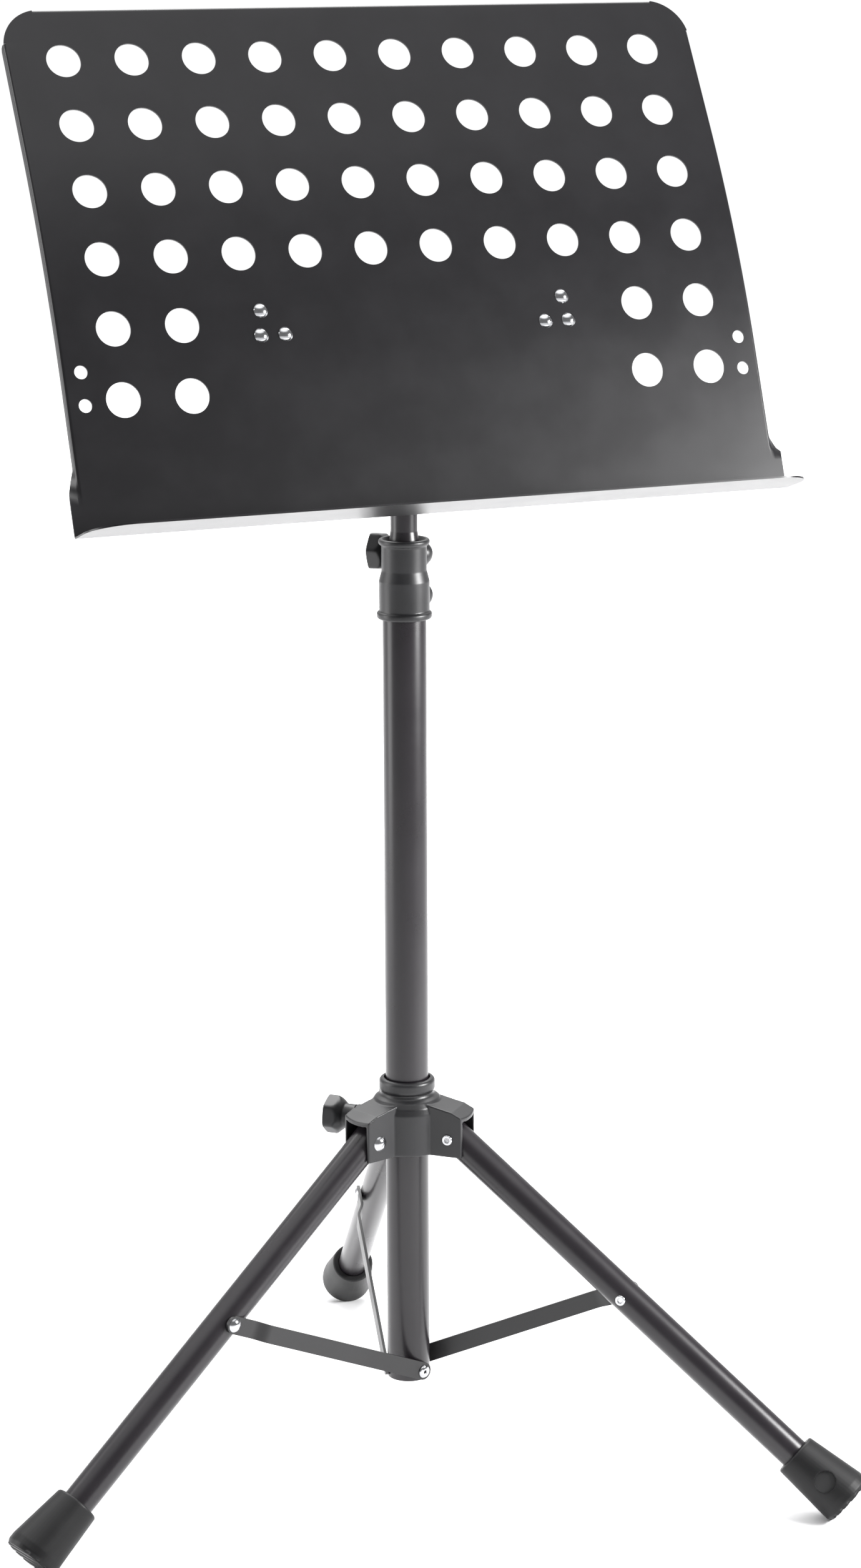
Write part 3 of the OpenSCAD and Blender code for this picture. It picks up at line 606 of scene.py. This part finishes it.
def inside(points, outline):
    """Which of the points lie inside the outline."""
    hit = np.zeros(len(points), bool)
    x, y = points[:, 0], points[:, 1]
    for (x0, y0), (x1, y1) in zip(outline, np.roll(outline, -1, axis=0)):
        crosses = (y0 > y) != (y1 > y)
        with np.errstate(divide="ignore", invalid="ignore"):
            at = (x1 - x0) * (y - y0) / (y1 - y0) + x0
        hit ^= crosses & (x < at)
    return hit


def desk_holes():
    """Holes as (u, s, radius, sides); the lower rows have only the outer columns."""
    holes = [(u, s, CLIP_HOLE_R, CLIP_HOLE_SIDES) for u, s in CLIP_HOLES]
    for row in range(HOLE_ROWS):
        for column in range(HOLE_COLUMNS):
            if row < FULL_ROWS or not OUTER_COLUMNS <= column < HOLE_COLUMNS - OUTER_COLUMNS:
                u = (column - (HOLE_COLUMNS - 1) / 2) * PITCH
                holes.append((u, SHEET_LEN - TOP_MARGIN - row * PITCH, HOLE_R, HOLE_SIDES))
    return holes


def clear_of(holes, points, gap):
    """Which of the points lie farther than the gap from every hole."""
    clear = np.ones(len(points), bool)
    for u, s, r, _ in holes:
        clear &= np.hypot(points[:, 0] - u, points[:, 1] - s) > r + gap
    return clear


def desk_grid(rows, outline, holes):
    """Points within the blank, clear of its outline and its holes."""
    columns = list(np.arange(-GRID_REACH, GRID_REACH + 1, GRID_STEP))
    for side in (-1, 1):
        columns += [side * (SIDE_FOLD + BEND_ARC * k / 6) for k in range(7)]
    grid = np.array([(u, s) for s in rows for u in columns])
    grid = grid[inside(grid, outline) & clear_of(holes, grid, HOLE_CLEAR)]
    apart = np.hypot(*(grid[:, None, :] - outline[None, :, :]).transpose(2, 0, 1))
    return grid[np.min(apart, axis=1) > EDGE_CLEAR]


def desk_blank():
    """The flat blank with its holes, as points and triangles."""
    rows, holes = desk_rows(), desk_holes()
    right = half_outline(rows)
    outline = np.array(right + [(-u, s) for u, s in reversed(right)])
    points = outline.tolist()
    edges = [(i, (i + 1) % len(points)) for i in range(len(points))]
    for u, s, r, sides in holes:
        base = len(points)
        points += circle((u, s), r, sides)
        edges += [(base + k, base + (k + 1) % sides) for k in range(sides)]
    points += desk_grid(rows, outline, holes).tolist()
    flat, _, triangles, *_ = delaunay_2d_cdt([Vector(p) for p in points], edges, [], 0, 1e-5)
    flat, triangles = np.array([tuple(p) for p in flat]), np.array(triangles)
    middle = flat[triangles].mean(axis=1)
    kept = triangles[inside(middle, outline) & clear_of(holes, middle, 0)]
    return flat.tolist(), kept.tolist()


def make_desk():
    """The sheet, folded from its blank and thickened backwards, with its cut edges broken."""
    flat, triangles = desk_blank()
    obj = new_object("desk", [sheet_point(u, s) for u, s in flat], triangles, sharp=60)
    # The normals face forward, to -Y, so that the thickness goes behind the front skin
    if sum(f.normal.y * f.area for f in obj.data.polygons) > 0:
        obj.data.flip_normals()
    solid = obj.modifiers.new("sheet", "SOLIDIFY")
    solid.thickness = SHEET_T * MM
    solid.offset = -1
    solid.use_even_offset = True
    apply_modifiers(obj)
    dress(bevelled(obj, 0.28, angle=55), "desk_plate", desk_coat)


def on_sheet(s, x):
    """Z out of the sheet's front face at (x, s)."""
    point = face_point(s)
    forward = outward(lean(s))
    z_axis = Vector((0, -forward[0], forward[1]))
    x_axis = Vector((1, 0, 0))
    y_axis = z_axis.cross(x_axis)
    rows = Matrix((x_axis, y_axis, z_axis)).transposed().to_4x4()
    return Matrix.Translation((x, -point[0], point[1])) @ rows


def make_desk_rivets():
    """Domed heads on the desk's face, and shanks with rolled ends behind the brackets."""
    parts = []
    for side in (-1, 1):
        for x, s in RIVET_SPOTS:
            place = on_sheet(s, side * x)
            shank = rounded(shank_profile(SMALL_SHANK_R, -RIVET_TAIL, 0.1), [0, 0.3, 0, 0])
            tail = ring_profile(DESK_TAIL_R, DESK_TAIL_BORE, -RIVET_TAIL, DESK_TAIL_H - RIVET_TAIL, 0.55)
            parts += [(dome_profile(*DESK_HEAD), place, 64), (shank, place, 40), (tail, place, 48)]
    dress(lathe("desk_rivet_heads", parts), "desk_rivets", zinc)


# --- column and rod -----------------------------------------------------------------------------

def make_column():
    """Open tube from between the braces up into the clamp."""
    profile = ring_profile(COLUMN_R, COLUMN_BORE, *COLUMN_Z, 0.5)
    dress(lathe("column", [(profile, HERE, 128)]), "column_tube", tube_coat)


def make_rod():
    """Open tube that is drawn down to a thinner neck."""
    outer = [(ROD_R, ROD_LOW), (ROD_R, NECK_LOW), (NECK_R, NECK_HIGH), (NECK_R, ROD_HIGH)]
    inner = [(r - ROD_WALL, z) for r, z in reversed(outer)]
    radii = [0.4, 6, 6, 0.3]
    profile = rounded(outer + inner, radii + radii[::-1], 6)
    dress(lathe("sliding_rod", [(profile, HERE, 112)]), "inner_rod", tube_coat)


def carriage_bolt(name, node, z, end):
    """Bolt across the clamp with a domed head on the side away from the knob."""
    head_place = on_bolt(z) @ shift(0, 0, -BOSS_HALF) @ turn("X", 180)
    shank = rounded(shank_profile(BOLT_R, -BOSS_HALF - 0.1, end), [0, 0, 0.6, 0])
    parts = [(dome_profile(BOLT_HEAD_R, BOLT_HEAD_H), head_place, 64), (shank, on_bolt(z), 40)]
    dress(lathe(name, parts), node, plastic)


# --- knobs --------------------------------------------------------------------------------------

KNOB_R, KNOB_NECK_R, KNOB_NECK, KNOB_HEX, KNOB_CONE = 14.1, 8.5, 8.3, 14.2, 6.0
KNOB_EDGE, KNOB_EDGE_H, KNOB_EDGE_IN = 2.6, 1.5, 3.2
KNOB_CROWN, KNOB_CROWN_R, KNOB_OVER = 1.1, KNOB_R - 2.4, 1
KNOB_ROUND = 0.975   # where the six corners are rounded off, as a share of the radius


def soft_min(a, b, sharpness):
    """The smaller of two numbers, with a smooth change from one to the other."""
    return -math.log(math.exp(-sharpness * a) + math.exp(-sharpness * b)) / sharpness


def hex_radius(angle):
    """Radius of a six-sided grip with rounded corners, as a share of its largest."""
    sector = math.radians(60)
    off = (angle % sector) - sector / 2
    flat = math.cos(sector / 2) / math.cos(off)
    return soft_min(flat, KNOB_ROUND, sharpness=60)


def knob_stations():
    """Heights up the knob, with the largest radius there and whether its six sides show.

    A round neck, a cone that opens into the grip, the grip's sides, its rounded edge and a low crown.
    """
    stations = [(0.0, KNOB_NECK_R - 0.5, False), (0.4, KNOB_NECK_R, False)]
    stations += [(KNOB_NECK - 0.8, KNOB_NECK_R, False), (KNOB_NECK, KNOB_NECK_R + 0.4, False)]
    cone_z, cone_r, top = KNOB_NECK + 0.4, KNOB_NECK_R + 1.0, KNOB_NECK + KNOB_HEX
    for k in range(7):
        stations.append((cone_z + 0.92 * KNOB_CONE * k / 6, cone_r + (KNOB_R - cone_r) * k / 6, True))
    for z in even_steps(KNOB_NECK + KNOB_CONE, top - KNOB_EDGE, 4):
        stations.append((z, KNOB_R + KNOB_OVER, True))
    for a in even_steps(0, math.pi / 2, 8):
        limit = KNOB_R + KNOB_OVER - KNOB_EDGE_IN * (1 - math.cos(a))
        stations.append((top - KNOB_EDGE + KNOB_EDGE_H * math.sin(a), limit, True))
    for r in even_steps(KNOB_CROWN_R, 0, 8):
        stations.append((top - KNOB_CROWN * (r / KNOB_CROWN_R) ** 2, r, True))
    return stations


def make_knob(name, node, place):
    """Six-sided moulded knob that stands on the place, a little off it."""
    segments = 144
    verts, faces = [], []
    stations = knob_stations()
    for z, limit, six_sided in stations:
        for k in range(segments):
            a = 2 * math.pi * k / segments
            if six_sided:
                r = max(0.0, soft_min(limit, KNOB_R * hex_radius(a), sharpness=3))
            else:
                r = limit
            verts.append((r * math.cos(a), r * math.sin(a), z))
    for low in range(0, segments * (len(stations) - 1), segments):
        for k in range(segments):
            j = (k + 1) % segments
            faces.append((low + k, low + j, low + segments + j, low + segments + k))
    faces.append(tuple(range(segments - 1, -1, -1)))
    place = place @ shift(0, 0, KNOB_GAP) @ turn("Z", KNOB_TURN)
    dress(new_object(name, verts, faces, place, sharp=40), node, plastic)


# --- tripod -------------------------------------------------------------------------------------

def make_leg(leg):
    """Tube with a rounded, closed top end and an open lower end inside the boot."""
    bore, cap = LEG_R - LEG_WALL, LEG_TOP + LEG_CAP
    outline = [(0, LEG_TOP), (LEG_R, LEG_TOP), (LEG_R, LEG_END), (bore, LEG_END), (bore, cap), (0, cap)]
    profile = rounded(outline, [0, 5, 0.3, 0.3, 1, 0], 6)
    dress(lathe("tube_leg_" + leg, [(profile, down_leg(leg), 112)]), "leg_" + leg, tube_coat)


def make_pivot_rivet(leg):
    """Rivet through the hub's socket and the leg: domed on one side, rolled over on the other."""
    base = leg_frame(leg) @ shift(PIVOT_R, 0, PIVOT_Z)
    parts = [
        (dome_profile(*PIVOT_HEAD), base @ shift(0, ARM_HALF, 0) @ TO_LEFT, 64),
        (shank_profile(PIVOT_SHANK_R, -ARM_HALF - 0.2, ARM_HALF), base @ TO_LEFT, 32),
        (rolled_profile(PIVOT_TAIL_R), base @ shift(0, -ARM_HALF, 0) @ TO_RIGHT, 48),
    ]
    dress(lathe("pivot_rivet_" + leg, parts), "leg_pivot_" + leg, zinc)


def make_brace_rivet(leg):
    """Rivet between leg and brace: its rolled tail rides on the leg, its domed head on the brace."""
    base = down_leg(leg) @ shift(0, 0, BRACE_REACH)
    parts = [
        (shank_profile(SMALL_SHANK_R, -LEG_R, LEG_R - STRAP_GAP), base @ TO_LEFT, 32),
        (rolled_profile(BRACE_TAIL_R), base @ shift(0, -LEG_R, 0) @ TO_RIGHT, 48),
    ]
    dress(lathe("brace_rivet_tail_" + leg, parts), "rivet_tail_" + leg, zinc)
    base = along_brace(leg) @ shift(0, STRAP_END_Y, BRACE_LEN) @ TO_LEFT
    parts = [
        (dome_profile(*BRACE_HEAD), base @ shift(0, 0, STRAP_T / 2), 64),
        (shank_profile(SMALL_SHANK_R, -STRAP_T / 2, STRAP_T / 2 + 0.1), base, 32),
    ]
    dress(lathe("brace_rivet_head_" + leg, parts), "rivet_head_" + leg, zinc)


def make_column_rivet(leg):
    """Hollow rivet from inside the column out through the strap, rolled over at its end."""
    inner, wall, top = COLUMN_BORE - 4, COLUMN_BORE, STRAP_Y + STRAP_T / 2
    outline = [(1, inner), (3.4, inner), (3.4, wall - 0.4), (2.4, wall - 0.2), (2.4, top + 0.1),
               (4.3, top + 0.12), (4.6, top + 0.5), (3.9, top + 1.3), (2.4, top + 1.75),
               (1.3, top + 1.7), (1, top + 1.2)]
    profile = rounded(outline, [0, 0.4, 0.3, 0, 0, 0.2, 0.4, 0.8, 0.6, 0.3, 0.2])
    place = leg_frame(leg) @ shift(0, 0, PIN_Z) @ TO_LEFT
    dress(lathe("column_rivet_" + leg, [(profile, place, 56)]), "brace_pin_" + leg, zinc)


def make_brace(leg):
    """Flat strap with round ends that steps in towards the leg near its far end."""
    step_near, step_far = BRACE_LEN - STEP_NEAR, BRACE_LEN - STEP_FAR
    half = STRAP_W / 2
    ends = [half * math.sin(math.radians(a)) for a in range(-90, 91, 10)]
    stations = [z for z in ends if z <= 0]
    stations += even_steps(0, step_near, 10) + even_steps(step_near, step_far, 8)
    stations += [BRACE_LEN + z for z in ends if z >= 0]
    verts, faces = [], []
    for z in stations:
        over = max(0.0, -z, z - BRACE_LEN)
        width = max(math.sqrt(max(half * half - over * over, 0)), 0.35)
        t = progress(z, step_near, step_far)
        y = STRAP_Y + (STRAP_END_Y - STRAP_Y) * t * t * (3 - 2 * t)
        verts += [(-width, y - STRAP_T / 2, z), (width, y - STRAP_T / 2, z),
                  (width, y + STRAP_T / 2, z), (-width, y + STRAP_T / 2, z)]
    last = 4 * (len(stations) - 1)
    for low in range(0, last, 4):
        for k in range(4):
            j = (k + 1) % 4
            faces.append((low + k, low + j, low + 4 + j, low + 4 + k))
    faces += [(3, 2, 1, 0), (last, last + 1, last + 2, last + 3)]
    strap = new_object("brace_strap_" + leg, verts, faces, along_brace(leg))
    dress(bevelled(strap, 0.4, 3, 40), "brace_" + leg, strap_coat)


# --- floor, light and camera --------------------------------------------------------------------

# Radiance of the surroundings: what the camera sees, and what lights the stand from each side
BACKDROP, FRONT_SKY, BACK_SKY, TOP_SKY = 1.05, 0.28, 0.58, 2.8

# Floor, lights and camera are placed in metres and degrees; the lens and its sensor are millimetres
FLOOR_R, FLOOR_DROP = 8.0, 0.0004
CAMERA_PLACE, CAMERA_TURN = (-1.00405, -2.33614, 1.08128), (76.970, 0.232, -23.701)
CAMERA_LENS, SENSOR_HEIGHT, CLIP_END = 87.09, 36, 50


def make_floor():
    """A pale, faintly mottled floor just under the boots."""
    mesh = bpy.data.meshes.new("floor")
    work = bmesh.new()
    bmesh.ops.create_circle(work, cap_ends=True, segments=96, radius=FLOOR_R)
    work.to_mesh(mesh)
    work.free()
    floor = bpy.data.objects.new("floor", mesh)
    bpy.context.scene.collection.objects.link(floor)
    material, tree, shader = new_material("pale_floor")
    mottling = two_tone(tree, noise(tree, 2.5, 3), (0.86, 0.86, 0.865), (0.89, 0.89, 0.895))
    tree.links.new(mottling, shader.inputs["Base Color"])
    shader.inputs["Roughness"].default_value = 0.7
    mesh.materials.append(material)
    floor.location.z = -FLOOR_DROP


def area_light(name, place, target, size, energy, spread=180):
    """A rectangular light that faces the target."""
    light = bpy.data.lights.new(name, "AREA")
    light.shape = "RECTANGLE"
    light.size, light.size_y = size
    light.energy = energy
    light.spread = math.radians(spread)
    obj = bpy.data.objects.new(name, light)
    bpy.context.scene.collection.objects.link(obj)
    obj.location = place
    obj.rotation_euler = (Vector(target) - Vector(place)).to_track_quat("-Z", "Y").to_euler()


def make_world():
    """A white backdrop that lights the stand from above and behind and is dim on the camera's side."""
    world = bpy.data.worlds.new("studio")
    bpy.context.scene.world = world
    world.use_nodes = True
    tree = world.node_tree
    coords = tree.nodes.new("ShaderNodeTexCoord")
    split = tree.nodes.new("ShaderNodeSeparateXYZ")
    tree.links.new(coords.outputs["Generated"], split.inputs["Vector"])
    total = tree.nodes.new("ShaderNodeMath")
    total.operation = "ADD"
    above = remap(tree, split.outputs["Z"], FRONT_SKY, TOP_SKY, from_low=0.7, from_high=1.0)
    behind = remap(tree, split.outputs["Y"], 0.0, BACK_SKY, from_low=0.0, from_high=0.6)
    tree.links.new(above, total.inputs[0])
    tree.links.new(behind, total.inputs[1])
    path = tree.nodes.new("ShaderNodeLightPath")
    mix = tree.nodes.new("ShaderNodeMix")
    tree.links.new(path.outputs["Is Camera Ray"], mix.inputs["Factor"])
    tree.links.new(total.outputs["Value"], mix.inputs["A"])
    mix.inputs["B"].default_value = BACKDROP
    background = tree.nodes["Background"]
    background.inputs["Color"].default_value = (1.0, 1.0, 1.005, 1)
    tree.links.new(mix.outputs["Result"], background.inputs["Strength"])


def make_camera():
    """From the front left, a little above the desk, through a long lens."""
    camera = bpy.data.cameras.new("camera")
    camera.sensor_fit = "VERTICAL"
    camera.sensor_height = SENSOR_HEIGHT
    camera.lens = CAMERA_LENS
    camera.clip_end = CLIP_END
    obj = bpy.data.objects.new("camera", camera)
    bpy.context.scene.collection.objects.link(obj)
    obj.location = CAMERA_PLACE
    obj.rotation_euler = [math.radians(a) for a in CAMERA_TURN]
    bpy.context.scene.camera = obj


# --- the stand and its studio -------------------------------------------------------------------

make_desk()
make_desk_rivets()
for side_name in ("left", "right"):
    bracket = "bracket_" + side_name
    dress(softened(bracket, "desk_" + bracket, 0.35), bracket, tube_coat)
dress(moulded("tilt_head", "tilt_clamp_head"), "tilt_head", plastic)
for small in ("tube_plugs", "tube_screws", "tilt_bolt", "tilt_nut", "collar_nut"):
    dress(softened(small, small + "_finished"), small, SLOT_MATERIAL[node_slot[small]])

make_column()
make_rod()
dress(softened("column_bush", "mouth_bush"), "column_bush", nylon)
dress(moulded("clamp_collar", "height_clamp", 0.42, 5), "clamp_collar", plastic)
carriage_bolt("clamp_bolt_black", "clamp_bolt", UPPER_BOLT_Z, UPPER_BOLT_END)
carriage_bolt("collar_bolt_black", "collar_bolt", LOWER_BOLT_Z, LOWER_BOLT_END)
make_knob("height_knob", "clamp_knob", on_bolt(UPPER_BOLT_Z) @ shift(0, 0, BOSS_HALF))
make_knob("hub_grip_knob", "hub_knob", on_hub_knob() @ shift(0, 0, HUB_BOSS))

dress(moulded("hub_body", "hub_moulding"), "hub_body", plastic)
for leg_name in LEGS:
    make_leg(leg_name)
    make_pivot_rivet(leg_name)
    make_brace_rivet(leg_name)
    make_column_rivet(leg_name)
    make_brace(leg_name)
    foot = "foot_" + leg_name
    dress(moulded(foot, "rubber_boot_" + leg_name, rounds=4), foot, rubber)

make_floor()
make_world()
make_camera()
area_light("top", place=(0.9, 2.7, 3.2), target=(1.0, 2.9, 0), size=(4.5, 3.0), energy=205, spread=130)
area_light("left", place=(-2.6, 0.9, 1.1), target=(0, 0, 0.6), size=(1.3, 2.6), energy=44)
area_light("front_right", place=(1.15, -0.96, 0.92), target=(0.2, -0.05, 0.74), size=(0.6, 0.5), energy=52)
bpy.context.scene.view_settings.view_transform = "Standard"
